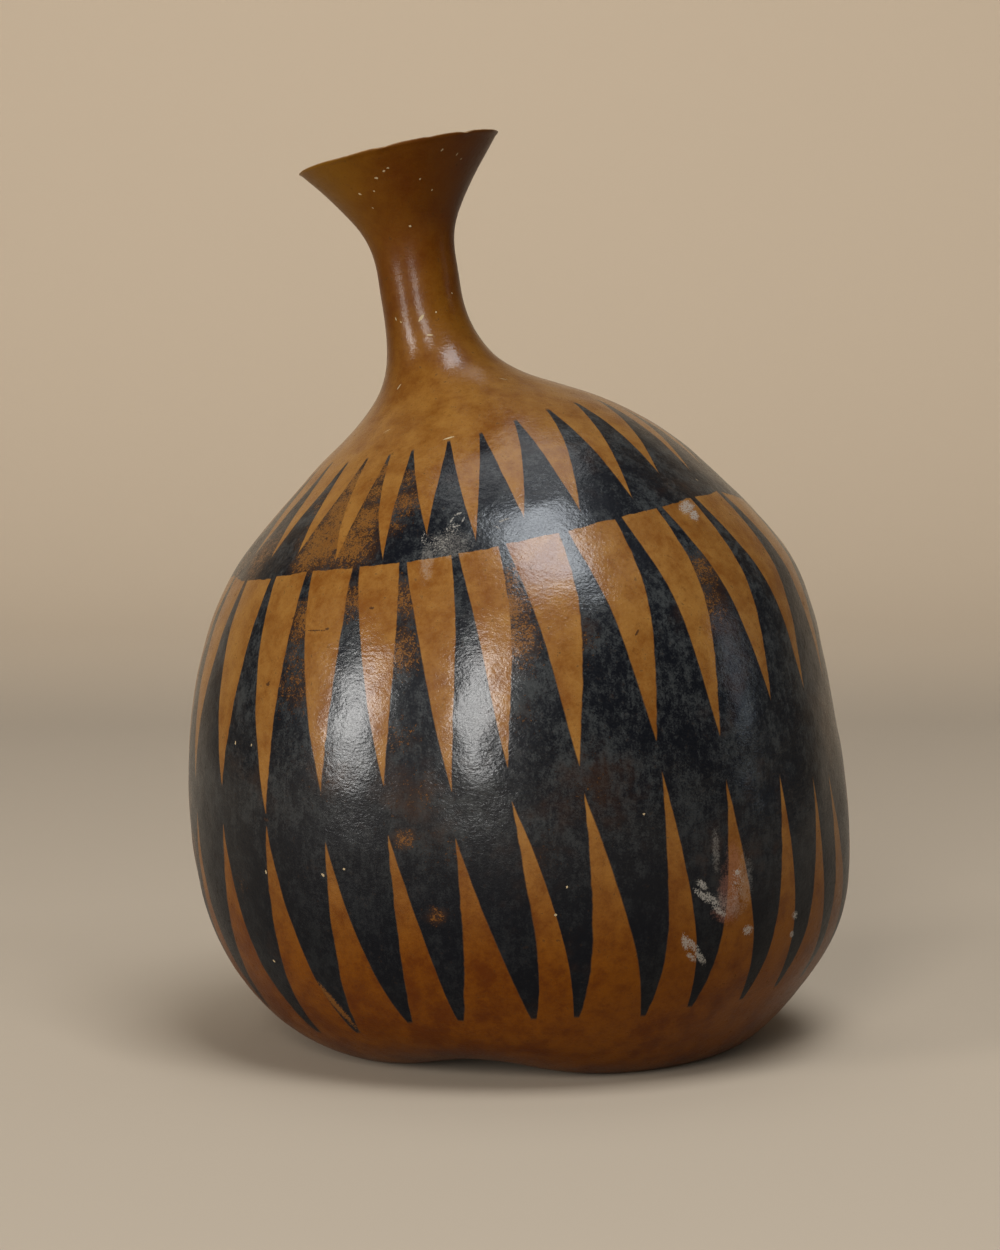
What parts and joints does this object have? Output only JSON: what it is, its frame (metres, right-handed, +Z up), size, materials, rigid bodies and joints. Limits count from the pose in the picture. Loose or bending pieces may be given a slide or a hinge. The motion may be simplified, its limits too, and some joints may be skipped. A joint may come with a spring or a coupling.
{
  "type": "dried bottle gourd",
  "caption": "Dried bottle gourd with a round hollow body, a slender leaning neck and a flared open mouth, painted with dark toothed bands on its bare skin.",
  "frame": {"origin": "under the middle of the bounding box, on the surface that the gourd stands on", "axes": "+Z up through the body towards the neck, -X the way the neck leans, -Y the front that the picture shows"},
  "size_m": [0.218, 0.2134, 0.2995],
  "materials": {
    "gourd_skin": "satin, polished by handling, with dark paint over part of it"
  },
  "bodies": {
    "root": {"gourd": "gourd_skin"}
  },
  "joints": []
}
